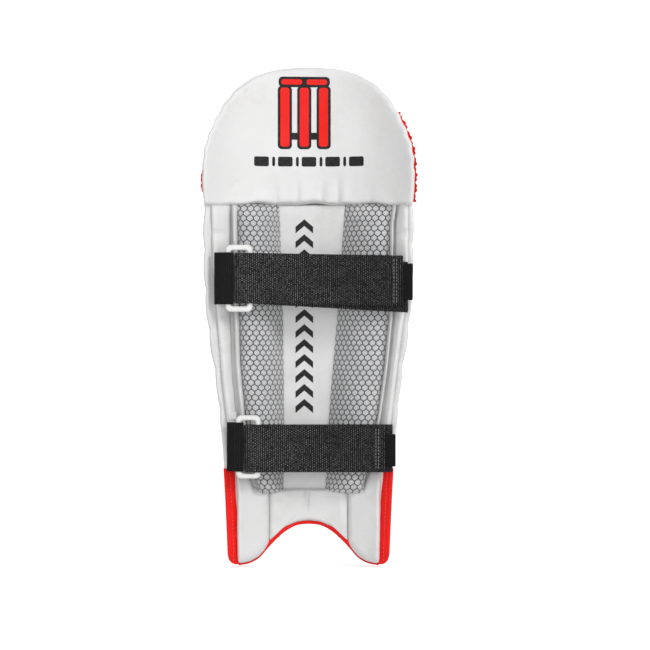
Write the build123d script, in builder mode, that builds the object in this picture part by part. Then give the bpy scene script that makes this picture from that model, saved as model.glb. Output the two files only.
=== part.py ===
from build123d import *
import os
from dataclasses import dataclass
from math import cos, radians, sin, sqrt

# A wicket-keeping leg pad, in millimetres. +Z runs up the shin, +X across the pad and +Y away from the leg,
# towards the ball. The origin is at the foot end of the shin line, on the liner's face that meets the leg.
# In plan every layer is part of a ring about one upright axis on the leg's side, so the pad wraps the shin.

# ---- driving dimensions ----
BEND_RADIUS = 150.0  # radius of the liner's leg face, in plan
KNEE_BASE = 408.5  # height where the knee section starts
SHIN_TOP = 400.0  # height where the shin section ends
WING_TOP = 388.0  # the wings end lower, so that the knee section can lean over them
BINDING_TOP = 110.0  # height of the coloured side bindings
BINDING_WIDTH = 12.5
EDGING_WIDTH = 3.0  # plain edge strip above the bindings
FOAM_INSETS = (15.5, 6.0)  # how far the shin's foam stops short of the pad's sides and of the foot end
STIFFENER_EDGE = ((66.0, 95.0), (84.0, 392.0))  # one side of the stiffener, from its lower to its upper corner
HINGE_HALF_WIDTH = 84.0
GAP = 0.3  # between neighbouring pieces

LINER = 2.0  # thicknesses of the shin's layers, from the leg outwards
SHIN_FOAM = 6.0
STIFFENER = 1.2
FACE = 1.5
INNER_PAD = 6.7  # padding sewn on the leg face
CHANNEL_SKIN = 2.0
CHANNEL_INSET = 1.5  # the channel's panel stops this far inside the bolsters

BINDING_RELIEF = 0.8  # the side bindings stand this much proud of the layers they close

RIBS = 7
RIB_FOOT = 12.0
RIB_TOP = 397.0
RIB_PITCH_LOW = 7.6  # degrees between ribs about the bend axis, at the foot and at the top
RIB_PITCH_TOP = 12.3
RIB_FILL = 0.48  # half of a rib's width, as a share of the pitch
RIB_HEIGHT_LOW = 11.0
RIB_HEIGHT_TOP = 15.0
RIB_SEAT = 2.1  # a rib's flat seat clears the curved face by this at its edges
RIB_LOWS = (62.0, 60.0, 46.0, 16.0)  # lower end of the middle rib, then of each pair outwards
CANE_RADIUS = 4.0
CANE_CLEARANCE = 0.2
CANE_HEIGHT = 5.6  # of a cane's middle line above the face
CANE_END = 8.0  # the canes stop this far inside each end of their rib

CUSHION = 12.0  # knee cup
KNEE_BACKING = 1.5
ROLL_DEPTH = 19.0
ROLL_HEIGHTS = (34.0, 34.0, 32.0)
ROLL_GAP = 2.0
ROLL_ROUNDING = 9.0
FLAP_DEPTH = 8.0
SIDE_PANEL_DEPTH = 11.0
SIDE_PANEL_WIDTH = 13.0
SIDE_PANEL_TOP = 512.0

WEBBING = 2.2
HOOK_TAPE = 1.0
RING_BAR = 5.8  # width of a ring's bars
RING_THICKNESS = 4.6
RING_ROUNDING = 2.0
RING_CORNER = 6.0
PIN_CLEARANCE = 0.1
LOOP_FOOT = 2.3  # half the thickness of a ring holder where it is sewn down
FOLD_SLACK = 9.75  # how far the webbing's fold stands off the ring's bar
BAR_CLEARANCE = 0.9
LOOP_SIDE_CLEARANCE = 2.0
SLOT_CORNER = 2.5
TAB_CORNER = 3.0
FLAP_RAMP = 22.0  # the flap comes down to the lower layer this far from the bar
HOOK_MARGIN = 3.0
PATCH_SIDES = (-90.0, -80.5)
PATCH_HEIGHT = 9.0
PATCH_THICKNESS = 1.2

LOBE_TOP = 82.0
LOBE_INNER = 44.0  # the lobes' padding starts this far from the middle
LOBE_INSETS = (13.5, 1.5)  # how far it stops short of the pad's sides and of the foot end
INSTEP_EDGE = ((0.0, 56.0), (27.0, 48.0), (41.0, 40.0), (42.0, LOBE_TOP))
LOBE_END = 47.0  # where a lobe of the foot end meets the arch
# Half of the pad's width against height, and one half of the foot end, as (across, up)
SHIN_SIDE = ((90.5, 10.0), (93.5, 80.0), (99.5, 166.0), (111.0, 255.0), (117.3, 340.0), (116.8, 420.0))
LOBE = ((84.0, 1.0), (70.0, 2.8), (57.0, 8.5), (LOBE_END, 21.2))
ARCH = ((38.0, 31.0), (26.0, 41.5), (0.0, 50.5))
BINDING_ARCH = ((47.0, 31.5), (38.0, 38.2), (26.0, 46.0), (0.0, 54.0))
KNEE_SIDE = ((116.6, 395.0), (118.0, 445.0), (110.5, 488.0), (92.0, 524.0), (60.0, 550.5), (0.0, 561.0))
KNEE_CENTRE = 430.0  # the knee outline shrinks towards this height
BACKING_INSET = 6.0  # how far the knee section's layers stop short of its outline
ROLL_INSET = 14.0
TOP_FLAP_INSET = 7.0
SIDE_PANEL_RELIEF = 1.5  # the coloured side panels show this far past the cup

# Half outlines of one bolster, as (across, up): the edge at the channel, and the edge at the wing
BOLSTER_INNER = ((23.5, 84.0), (25.5, 166.0), (30.5, 278.0), (36.0, SHIN_TOP))
BOLSTER_OUTER = ((64.0, 84.0), (78.5, 166.0), (86.5, 270.0), (87.5, SHIN_TOP))
BOLSTER_FACE = ((20.0, -29.0), (55.0, -34.0), (90.0, -45.0))  # its leg face in plan
BOLSTER_EDGE = 8.0  # plain strip along the wing side
BOLSTER_ROUNDING = 7.0
COVER = 1.2

BOLSTER_LOW = 84.0
BOLSTER_EDGE_R = 137.0

# Half outlines of a wing's padding, outside the bolster
WING_INNER = ((66.0, 86.0), (80.5, 166.0), (88.5, 270.0), (89.5, 391.0))
WING_OUTER = ((76.0, 86.0), (81.0, 112.0), (93.0, 166.0), (104.5, 255.0), (110.8, 340.0), (110.8, 391.0))

REACH = 150.0  # further than any piece lies from the XZ plane
FOOT_MARGIN = 5.0  # cuts at the foot end start this far below it
SIDES = {"left": -1, "right": 1}  # as seen from the leg

# ---- radii of the layers, from the bend axis ----
inner_pad_r = BEND_RADIUS - GAP - INNER_PAD
pad_back_r = BEND_RADIUS - GAP
liner_r = BEND_RADIUS + LINER
foam_r = liner_r + GAP + SHIN_FOAM
stiffener_r = foam_r + GAP + STIFFENER
face_r = stiffener_r + GAP + FACE
cushion_back_r = inner_pad_r + CUSHION
backing_r = cushion_back_r + GAP + KNEE_BACKING
roll_r = backing_r + GAP


@dataclass
class Strap:
    """One closing strap: its ring on the left wing, the webbing through it and the anchor on the right wing."""

    name: str
    pile_y: float  # face of the lower layer that the flap closes on
    ring_left: float
    ring_width: float
    ring_low: float
    ring_height: float
    loop_low: float
    loop_height: float
    foot_x: float  # where the ring's holder is sewn on the wing
    low: float  # lower edge of the webbing at the ring
    width: float
    flap_end: float
    flap_drop: float  # how much lower the webbing lies at its far end
    layer_end: float
    layer_drop: float
    tab: tuple  # x_low, x_high, z_low, z_high
    hook: tuple  # x_low, x_high


STRAPS = (
    Strap("upper", -57.1, -92.4, 30.2, 286.5, 75.0, 295.0, 58.0, -103.3, 296.0, 56.4, 105.3, 3.0, 110.3, 10.0,
          (105.7, 115.3, 299.6, 340.3), (58.0, 101.0)),
    Strap("lower", -44.1, -81.2, 27.7, 100.0, 71.0, 108.0, 55.0, -89.6, 107.2, 53.4, 85.5, 0.0, 94.0, 0.0,
          (86.0, 96.8, 113.7, 150.0), (42.0, 82.0)),
)


def arc_y(radius, x):
    """Y of a layer of this radius where it is x from the middle."""
    return sqrt(radius**2 - x**2) - BEND_RADIUS


def save(piece, label):
    piece.part.label = label
    export_step(piece.part, f"parts/{label}.step")


def mirrored(points):
    """The same half outline on the other side, in reverse order, so that it goes on round the pad."""
    return [(-x, z) for x, z in reversed(points)]


# ---- plans: sections across the pad, drawn on XY ----
def ring_plan(inner, outer):
    with BuildSketch() as plan:
        with Locations((0, -BEND_RADIUS)):
            Circle(outer)
            Circle(inner, mode=Mode.SUBTRACT)
    return plan.sketch


def strip_plan(x_start, x_end, y_back, thickness, wing_radius):
    """Webbing that runs straight across the pad and then turns to lie along a wing's leg face."""
    y_front = y_back - thickness
    x_turn = sqrt(wing_radius**2 - (BEND_RADIUS + y_back) ** 2)
    with BuildSketch() as along_wing:
        with Locations((0, -BEND_RADIUS)):
            Circle(wing_radius)
            Circle(wing_radius - thickness, mode=Mode.SUBTRACT)
        with Locations((x_end, y_back)):
            Rectangle(x_end - x_start, REACH, align=(Align.MAX, Align.MAX), mode=Mode.INTERSECT)
    with BuildSketch() as plan:
        if x_turn > x_start:
            with Locations((x_start, y_front)):
                Rectangle(x_turn - x_start, thickness, align=(Align.MIN, Align.MIN))
        add(along_wing.sketch)
    return plan.sketch


def bolster_plan(side, inset):
    """From the liner to the bolster's leg face, which is inset for what lies under the cover."""
    face = [(side * x, y + inset) for x, y in BOLSTER_FACE]
    with BuildSketch() as plan:
        with BuildLine():
            ThreePointArc(*face)
            Polyline(face[-1], (face[-1][0], REACH), (face[0][0], REACH), face[0])
        make_face()
        with Locations((0, -BEND_RADIUS)):
            Circle(pad_back_r, mode=Mode.INTERSECT)
    return plan.sketch


def box_plan(x_low, x_high, y_low, y_high):
    with BuildSketch() as plan:
        with Locations((x_low, y_low)):
            Rectangle(x_high - x_low, y_high - y_low, align=(Align.MIN, Align.MIN))
    return plan.sketch


# ---- outlines: the pad seen from the leg, drawn on XZ ----
def heights(low, high):
    """Everything between two heights, for trimming an outline inside a sketch."""
    with Locations((0, low)):
        Rectangle(4 * REACH, high - low, align=(Align.CENTER, Align.MIN), mode=Mode.INTERSECT)


def shin_outline(side_inset=0.0, arch_inset=0.0):
    side = [(x - side_inset, z) for x, z in SHIN_SIDE if z < SHIN_TOP]
    side.append((SHIN_SIDE[-1][0] - side_inset, WING_TOP))
    squeeze = 1 - side_inset / (SHIN_SIDE[0][0] - LOBE_END)
    lobe = [(LOBE_END + (x - LOBE_END) * squeeze, z + arch_inset) for x, z in LOBE]
    arch = [(x, z + arch_inset) for x, z in ARCH]
    arch = [lobe[-1], *arch, *mirrored(arch[:-1]), (-lobe[-1][0], lobe[-1][1])]
    corner = ((side[0][0] + lobe[0][0]) / 2 + 2, 4 + arch_inset)
    with BuildSketch(Plane.XZ) as outline:
        with BuildLine():
            Spline(*side)
            Polyline(side[-1], (80, SHIN_TOP), (-80, SHIN_TOP), (-side[-1][0], WING_TOP))
            Spline(*mirrored(side))
            ThreePointArc((-side[0][0], side[0][1]), (-corner[0], corner[1]), (-lobe[0][0], lobe[0][1]))
            Spline(*[(-x, z) for x, z in lobe])
            Spline(*reversed(arch))
            Spline(*reversed(lobe))
            ThreePointArc(lobe[0], corner, side[0])
        make_face()
    return outline.sketch


def side_strip(side, width, low, high):
    """A strip along one side between two heights, running out past the edge of the pad."""
    inner = [(side * (x - width), z) for x, z in SHIN_SIDE]
    with BuildSketch(Plane.XZ) as strip:
        with BuildLine():
            Spline(*inner)
            Polyline(inner[-1], (side * REACH, inner[-1][1]), (side * REACH, -FOOT_MARGIN),
                     (inner[0][0], -FOOT_MARGIN), inner[0])
        make_face()
        heights(low, high)
    return strip.sketch


def arch_strip():
    """The binding along the arch over the boot."""
    lower = [LOBE[-1], *ARCH, *mirrored([LOBE[-1], *ARCH[:-1]])]
    upper = [*BINDING_ARCH, *mirrored(BINDING_ARCH[:-1])]
    with BuildSketch(Plane.XZ) as strip:
        with BuildLine():
            Spline(*lower)
            Line(lower[-1], upper[-1])
            Spline(*upper)
            Line(upper[0], lower[0])
        make_face()
    return strip.sketch


def knee_outline(inset=0.0, low=KNEE_BASE, high=KNEE_SIDE[-1][1] + REACH):
    shrink = 1 - inset / KNEE_SIDE[0][0]
    side = [(x * shrink, KNEE_CENTRE + (z - KNEE_CENTRE) * shrink) for x, z in KNEE_SIDE]
    dome = [*side, *mirrored(side[:-1])]
    with BuildSketch(Plane.XZ) as outline:
        with BuildLine():
            Spline(*dome)
            Line(dome[-1], dome[0])
        make_face()
        heights(low, high)
    return outline.sketch


def between(side, inner, outer, low=0.0, high=SHIN_TOP):
    """The region between two edges that run up the pad, trimmed to two heights."""
    up = [(side * x, z) for x, z in inner]
    down = [(side * x, z) for x, z in reversed(outer)]
    with BuildSketch(Plane.XZ) as region:
        with BuildLine():
            Spline(*up)
            Line(up[-1], down[0])
            Spline(*down)
            Line(down[-1], up[0])
        make_face()
        heights(low, high)
    return region.sketch


def polygon_outline(*corners):
    with BuildSketch(Plane.XZ) as outline:
        with BuildLine():
            Polyline(*corners, close=True)
        make_face()
    return outline.sketch


def band_outline(x_low, x_high, z_low, height, drop=0.0):
    """A band of webbing that lies lower at its far end by drop."""
    return polygon_outline((x_low, z_low), (x_high, z_low - drop), (x_high, z_low - drop + height),
                           (x_low, z_low + height))


# ---- a piece: an outline seen from the leg, with a plan ----
def panel(label, outline, plan, keep=(), cut=()):
    with BuildPart() as piece:
        extrude(plan, amount=KNEE_SIDE[-1][1] + REACH)
        for region in (outline, *keep):
            extrude(region, amount=REACH, both=True, mode=Mode.INTERSECT)
        for region in cut:
            extrude(region, amount=REACH, both=True, mode=Mode.SUBTRACT)
    save(piece, label)


os.makedirs("parts", exist_ok=True)

# ---- shin: liner, foam, stiffener and face ----
edge_strips = [arch_strip()]
for side in SIDES.values():
    edge_strips.append(side_strip(side, BINDING_WIDTH + GAP, -FOOT_MARGIN, BINDING_TOP + GAP))
    edge_strips.append(side_strip(side, EDGING_WIDTH + GAP, BINDING_TOP, SHIN_TOP))
panel("shin_liner", shin_outline(), ring_plan(BEND_RADIUS, liner_r), cut=edge_strips)
panel("shin_foam", shin_outline(*FOAM_INSETS), ring_plan(liner_r + GAP, foam_r), cut=[arch_strip()])
panel("shin_stiffener", polygon_outline(*STIFFENER_EDGE, *mirrored(STIFFENER_EDGE)),
      ring_plan(foam_r + GAP, stiffener_r))
panel("shin_face", shin_outline(), ring_plan(stiffener_r + GAP, face_r), cut=edge_strips)

# ---- shin: edge strips, and the coloured bindings at the foot end ----
edge_plan = ring_plan(BEND_RADIUS, face_r)
binding_plan = ring_plan(BEND_RADIUS - BINDING_RELIEF, face_r + BINDING_RELIEF)
panel("instep_binding", arch_strip(), edge_plan)
for word, side in SIDES.items():
    panel(f"side_edging_{word}", shin_outline(), edge_plan,
          keep=[side_strip(side, EDGING_WIDTH, BINDING_TOP + GAP, SHIN_TOP)])
    panel(f"side_binding_{word}", shin_outline(), binding_plan,
          keep=[side_strip(side, BINDING_WIDTH, -FOOT_MARGIN, BINDING_TOP)])

# ---- shin: padding on the leg face ----
pad_plan = ring_plan(inner_pad_r, pad_back_r)
channel_edge = [(BOLSTER_INNER[0][0] - CHANNEL_INSET, BOLSTER_LOW + 3)]
channel_edge += [(x - CHANNEL_INSET, z) for x, z in BOLSTER_INNER[1:]]
panel("channel_panel", polygon_outline(*channel_edge, *mirrored(channel_edge)),
      ring_plan(pad_back_r - CHANNEL_SKIN, pad_back_r))
panel("instep_pad", polygon_outline(*INSTEP_EDGE, *mirrored(INSTEP_EDGE[1:])), pad_plan)
for word, side in SIDES.items():
    lobe_span = [[(x, -FOOT_MARGIN), (x, LOBE_TOP)] for x in (LOBE_INNER, REACH)]
    panel(f"instep_lobe_{word}", shin_outline(*LOBE_INSETS), pad_plan,
          keep=[between(side, *lobe_span, low=-FOOT_MARGIN, high=LOBE_TOP)])
    panel(f"wing_pad_{word}", between(side, WING_INNER, WING_OUTER, high=WING_TOP - 1), pad_plan)


# ---- shin: the two bolsters, each foam under a sewn cover with a plain strip along the wing ----
def bolster(side, inset):
    inner = [(x + inset, z) for x, z in BOLSTER_INNER]
    outer = [(x - BOLSTER_EDGE - inset, z) for x, z in BOLSTER_OUTER]
    with BuildPart() as body:
        extrude(bolster_plan(side, inset), amount=SHIN_TOP)
        extrude(between(side, inner, outer, BOLSTER_LOW + inset, SHIN_TOP - inset), amount=REACH, both=True,
                mode=Mode.INTERSECT)
        leg_side = body.faces().sort_by(Axis.Y)[0]
        fillet(leg_side.edges(), radius=BOLSTER_ROUNDING - inset)
    return body


for word, side in SIDES.items():
    outside, inside = bolster(side, 0), bolster(side, COVER)
    with BuildPart() as cover:
        add(outside.part)
        add(inside.part, mode=Mode.SUBTRACT)
    save(cover, f"bolster_cover_{word}")
    save(bolster(side, COVER + GAP), f"bolster_foam_{word}")
    strip_inner = [(x - BOLSTER_EDGE + GAP, z) for x, z in BOLSTER_OUTER]
    panel(f"bolster_edging_{word}", between(side, strip_inner, BOLSTER_OUTER, low=BOLSTER_LOW + 2),
          ring_plan(BOLSTER_EDGE_R, pad_back_r))


# ---- shin: ribs on the ball side, each a padded roll round a cane ----
def on_rib(number, z, height):
    """A point this far above the face on a rib's middle line. The ribs spread out as the pad widens."""
    share = (z - RIB_FOOT) / (RIB_TOP - RIB_FOOT)
    angle = radians(number * (RIB_PITCH_LOW + (RIB_PITCH_TOP - RIB_PITCH_LOW) * share))
    radius = face_r + GAP + height
    return radius * sin(angle), radius * cos(angle) - BEND_RADIUS


for number in range(-(RIBS // 2), RIBS // 2 + 1):
    low = RIB_LOWS[abs(number)]
    cane_ends = [(*on_rib(number, z, CANE_HEIGHT), z) for z in (low + CANE_END, RIB_TOP - CANE_END)]
    cane_plane = Plane(cane_ends[0], z_dir=Vector(*cane_ends[1]) - Vector(*cane_ends[0]))
    cane_length = (Vector(*cane_ends[1]) - Vector(*cane_ends[0])).length
    with BuildPart() as rib:
        for z, height in ((low, RIB_HEIGHT_LOW), (RIB_TOP, RIB_HEIGHT_TOP)):
            foot = on_rib(number - RIB_FILL, z, RIB_SEAT)
            heel = on_rib(number + RIB_FILL, z, RIB_SEAT)
            with BuildSketch(Plane.XY.offset(z)):
                with BuildLine():
                    ThreePointArc(foot, on_rib(number, z, height), heel)
                    Line(heel, foot)
                make_face()
        loft()
        with BuildSketch(cane_plane.offset(-CANE_CLEARANCE)):
            Circle(CANE_RADIUS + CANE_CLEARANCE)
        extrude(amount=cane_length + 2 * CANE_CLEARANCE, mode=Mode.SUBTRACT)
    save(rib, f"rib_{number + RIBS // 2 + 1}")
    with BuildPart() as cane:
        with BuildSketch(cane_plane):
            Circle(CANE_RADIUS)
        extrude(amount=cane_length)
    save(cane, f"cane_{number + RIBS // 2 + 1}")

# ---- knee section: cup, backing, rolls, flap and side panels ----
panel("knee_cup", knee_outline(), ring_plan(inner_pad_r, cushion_back_r))
panel("knee_backing", knee_outline(BACKING_INSET), ring_plan(cushion_back_r + GAP, backing_r))
roll_low = KNEE_BASE + ROLL_GAP
for number, height in enumerate(ROLL_HEIGHTS, start=1):
    with BuildPart() as roll:
        extrude(ring_plan(roll_r, roll_r + ROLL_DEPTH), amount=KNEE_SIDE[-1][1])
        extrude(knee_outline(ROLL_INSET, roll_low, roll_low + height), amount=REACH, both=True,
                mode=Mode.INTERSECT)
        ball_face = roll.faces().filter_by(GeomType.CYLINDER).sort_by(SortBy.AREA)[-1]
        fillet(ball_face.edges().filter_by(GeomType.CIRCLE), radius=ROLL_ROUNDING)
    save(roll, f"knee_roll_{number}")
    roll_low += height + ROLL_GAP
panel("knee_top_flap", knee_outline(TOP_FLAP_INSET, low=roll_low), ring_plan(roll_r, roll_r + FLAP_DEPTH))
half_span = [[(x, 0), (x, KNEE_SIDE[-1][1])] for x in (REACH / 2, REACH)]
for word, side in SIDES.items():
    panel(f"knee_side_panel_{word}", knee_outline(-SIDE_PANEL_RELIEF, high=SIDE_PANEL_TOP),
          ring_plan(roll_r, roll_r + SIDE_PANEL_DEPTH),
          keep=[between(side, *half_span, high=KNEE_SIDE[-1][1])], cut=[knee_outline(SIDE_PANEL_WIDTH)])

# The cloth that joins the two sections and folds as the knee section leans
panel("knee_hinge_cloth", band_outline(-HINGE_HALF_WIDTH, HINGE_HALF_WIDTH, SHIN_TOP + GAP,
                                       KNEE_BASE - SHIN_TOP - 2 * GAP), ring_plan(BEND_RADIUS, liner_r))

# ---- straps: each comes from the right wing, goes up through its ring, folds back and closes on itself ----
wing_face_r = inner_pad_r - GAP  # webbing lies along this radius on a wing
for strap in STRAPS:
    ring_y = strap.pile_y - BAR_CLEARANCE / 2 - RING_THICKNESS / 2
    ring_x = strap.ring_left + strap.ring_width / 2
    ring_z = strap.ring_low + strap.ring_height / 2
    pin_x = strap.ring_left + RING_BAR / 2  # the bar that the holder goes round
    bar_x = strap.ring_left + strap.ring_width - RING_BAR / 2  # the bar that the webbing folds round
    slot_height = strap.loop_height + 2 * LOOP_SIDE_CLEARANCE
    slot_z = strap.loop_low + strap.loop_height / 2

    with BuildPart() as ring:
        with BuildSketch(Plane.XZ.offset(-ring_y)):
            with Locations((ring_x, ring_z)):
                RectangleRounded(strap.ring_width, strap.ring_height, RING_CORNER)
            with Locations((ring_x, slot_z)):
                RectangleRounded(strap.ring_width - 2 * RING_BAR, slot_height, SLOT_CORNER, mode=Mode.SUBTRACT)
        extrude(amount=RING_THICKNESS / 2, both=True)
        flat_faces = ring.faces().filter_by(Axis.Y)
        fillet(flat_faces.edges(), radius=RING_ROUNDING)
    save(ring, f"{strap.name}_ring")

    pin_r = RING_BAR / 2 + PIN_CLEARANCE
    foot_r = wing_face_r - LOOP_FOOT
    with BuildPart() as holder:
        with BuildSketch(Plane.XY.offset(strap.loop_low)):
            with Locations((pin_x, ring_y)):
                Circle(pin_r + WEBBING)
            with Locations((strap.foot_x, arc_y(foot_r, strap.foot_x))):
                Circle(LOOP_FOOT)
            make_hull()
            with Locations((pin_x, ring_y)):
                Circle(pin_r, mode=Mode.SUBTRACT)
        extrude(amount=strap.loop_height)
    save(holder, f"{strap.name}_ring_holder")

    # the lower layer, sewn to the right wing under a tab, and the fold that passes through the ring
    layer_plan = strip_plan(bar_x, strap.layer_end, strap.pile_y + WEBBING, WEBBING, wing_face_r)
    panel(f"{strap.name}_strap_layer",
          band_outline(bar_x, strap.layer_end, strap.low, strap.width, strap.layer_drop), layer_plan)
    tab_low, tab_high, tab_bottom, tab_top = strap.tab
    with BuildSketch(Plane.XZ) as tab:
        with Locations(((tab_low + tab_high) / 2, (tab_bottom + tab_top) / 2)):
            RectangleRounded(tab_high - tab_low, tab_top - tab_bottom, TAB_CORNER)
    panel(f"{strap.name}_anchor_tab", tab.sketch,
          strip_plan(tab_low, tab_high, strap.pile_y - GAP, WEBBING, wing_face_r - WEBBING - GAP))

    over_y = ring_y - RING_THICKNESS / 2 - BAR_CLEARANCE  # the flap's back where it passes over the bar
    fold_r = (strap.pile_y + WEBBING - over_y + WEBBING) / 2
    fold_y = (strap.pile_y + over_y) / 2
    fold_x = bar_x - FOLD_SLACK  # the flap opens about the middle of the fold
    with BuildPart() as fold:
        with BuildSketch(Plane.XY.offset(strap.low)):
            with Locations((fold_x, fold_y)):
                Circle(fold_r)
                Circle(fold_r - WEBBING, mode=Mode.SUBTRACT)
                Rectangle(2 * fold_r, 2 * fold_r, align=(Align.MIN, Align.CENTER), mode=Mode.SUBTRACT)
            with Locations((fold_x, strap.pile_y)):
                Rectangle(FOLD_SLACK - GAP, WEBBING, align=(Align.MIN, Align.MIN))
        extrude(amount=strap.width)
    save(fold, f"{strap.name}_strap_fold")

    # the flap: from the fold, over the bar, down to the lower layer and across to its free end
    closed_y = strap.pile_y - GAP - HOOK_TAPE
    back = [(fold_x + GAP, over_y), (bar_x + RING_BAR, over_y), (bar_x + FLAP_RAMP, closed_y),
            (strap.flap_end, closed_y)]
    with BuildSketch() as flap_plan:
        with BuildLine():
            Polyline(*back, *[(x, y - WEBBING) for x, y in reversed(back)], close=True)
        make_face()
    flap_outline = band_outline(fold_x + GAP, strap.flap_end, strap.low, strap.width, strap.flap_drop)
    panel(f"{strap.name}_strap_flap", flap_outline, flap_plan.sketch)
    hook_low, hook_high = strap.hook
    panel(f"{strap.name}_hook_tape",
          band_outline(hook_low, hook_high, strap.low - strap.flap_drop + HOOK_MARGIN,
                       strap.width - 2 * HOOK_MARGIN),
          box_plan(hook_low, hook_high, closed_y, closed_y + HOOK_TAPE))

# A small sewn patch above the lower ring holder
lower = STRAPS[-1]
panel("lower_loop_patch", band_outline(*PATCH_SIDES, lower.loop_low + lower.loop_height + 1, PATCH_HEIGHT),
      ring_plan(wing_face_r - PATCH_THICKNESS, wing_face_r))
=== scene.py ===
import math

import bmesh
import bpy
import numpy as np
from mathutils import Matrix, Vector
from mathutils.bvhtree import BVHTree


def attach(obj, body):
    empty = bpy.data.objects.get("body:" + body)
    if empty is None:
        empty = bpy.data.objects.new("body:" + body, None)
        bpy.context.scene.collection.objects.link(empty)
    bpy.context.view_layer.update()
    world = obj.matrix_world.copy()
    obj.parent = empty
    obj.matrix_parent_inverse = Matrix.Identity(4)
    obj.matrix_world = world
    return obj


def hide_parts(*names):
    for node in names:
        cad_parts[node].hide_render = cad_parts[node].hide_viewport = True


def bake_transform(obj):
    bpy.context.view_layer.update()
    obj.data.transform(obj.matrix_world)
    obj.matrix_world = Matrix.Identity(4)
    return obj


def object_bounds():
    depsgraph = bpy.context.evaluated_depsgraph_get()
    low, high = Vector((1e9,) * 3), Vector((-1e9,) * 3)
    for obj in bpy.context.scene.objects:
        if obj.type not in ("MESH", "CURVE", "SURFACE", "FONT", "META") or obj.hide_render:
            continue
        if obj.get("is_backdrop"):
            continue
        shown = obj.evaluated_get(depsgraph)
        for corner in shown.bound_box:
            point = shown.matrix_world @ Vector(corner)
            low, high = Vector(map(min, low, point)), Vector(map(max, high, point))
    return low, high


# A wicket-keeping leg pad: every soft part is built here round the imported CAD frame, in metres.
# +Z runs up the shin, +X across, -Y towards the leg, which is the side that the camera sees.
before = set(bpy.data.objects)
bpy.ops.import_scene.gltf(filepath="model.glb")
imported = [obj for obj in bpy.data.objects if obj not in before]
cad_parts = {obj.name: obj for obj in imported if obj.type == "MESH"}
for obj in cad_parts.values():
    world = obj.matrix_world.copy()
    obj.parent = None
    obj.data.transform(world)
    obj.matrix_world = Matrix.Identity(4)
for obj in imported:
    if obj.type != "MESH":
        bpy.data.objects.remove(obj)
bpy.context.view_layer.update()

MM = 0.001
BEND = 0.150  # radius of the liner's leg face about the upright axis at (0, -BEND)
SHELL = 0.0116  # liner, foam, stiffener and face together
HEM = 0.4062  # where the knee cup's hem shows
SHIN_TOP = 0.4085  # cloth of the shin runs up to here, under the hem
FLEX_LOW, FLEX_HIGH = (0, 0, 0.384), (0, 0, 0.4105)  # where the cloth would bend as the knee section leans; nothing here bends it

# Half outline of the shin from the arch to the side, and the pad's half width against height
FOOT_EDGE = np.array([(0, 46.5), (13, 45), (26, 38.5), (38, 28.3), (47, 18.8), (57, 8.2), (66, 3.4),
                      (75, 1.7), (81, 1.5), (85.6, 3.4), (88.9, 7.0), (90.5, 12.5)]) * MM
SIDE_EDGE = np.array([(90.5, 10), (93.5, 80), (95.8, 121), (99.5, 166), (104.6, 211), (111, 255),
                      (115.6, 300), (117.5, 350), (117.3, 408)]) * MM
DOME = np.array([(116.4, 405), (118.2, 425), (118.2, 447), (115.8, 470.3), (110, 489), (102, 507.3),
                 (91.5, 525.8), (74, 544.5), (61, 553), (44, 559.7), (25, 563.3), (0, 564.8)]) * MM


def lengths(points):
    """Distance along a line of points, from the first of them to each."""
    return np.concatenate([[0], np.cumsum(np.linalg.norm(np.diff(points, axis=0), axis=1))])


def smooth(points, count):
    """Points of an even curve through these ones."""
    points = np.asarray(points, float)
    along = lengths(points)
    where = np.linspace(0, along[-1], count)
    slope = np.gradient(points, along, axis=0)
    k = np.clip(np.searchsorted(along, where, side="right") - 1, 0, len(along) - 2)
    step = (along[k + 1] - along[k])[:, None]
    t = ((where - along[k]) / (along[k + 1] - along[k]))[:, None]
    return ((2 * t**3 - 3 * t**2 + 1) * points[k] + (t**3 - 2 * t**2 + t) * step * slope[k]
            + (-2 * t**3 + 3 * t**2) * points[k + 1] + (t**3 - t**2) * step * slope[k + 1])


FOOT_EDGE = smooth(FOOT_EDGE, 90)
SIDE_EDGE = smooth(SIDE_EDGE, 120)
DOME = smooth(DOME, 120)


def half_width(z):
    return np.interp(z, SIDE_EDGE[:, 1], SIDE_EDGE[:, 0])


def wall(x, height):
    """Y of a surface this far towards the leg from the liner's leg face."""
    return np.sqrt((BEND - height) ** 2 - np.minimum(np.abs(x), BEND - height - 1e-4) ** 2) - BEND


def waves(x, y, size, seed, count=9):
    """Smooth irregular waves between about -1 and 1, with features of about this size."""
    draw = np.random.RandomState(seed)
    total = np.zeros(np.broadcast(x, y).shape)
    for _ in range(count):
        angle, phase = draw.uniform(0, 2 * math.pi, 2)
        pitch = size * draw.uniform(0.6, 1.7)
        total += np.sin(2 * math.pi * (x * math.cos(angle) + y * math.sin(angle)) / pitch + phase)
    return total / math.sqrt(count) * 0.8


def bump_line(d, width):
    """1 on a line, falling to 0 within about twice the width."""
    return np.exp(-((d / width) ** 2))


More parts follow.
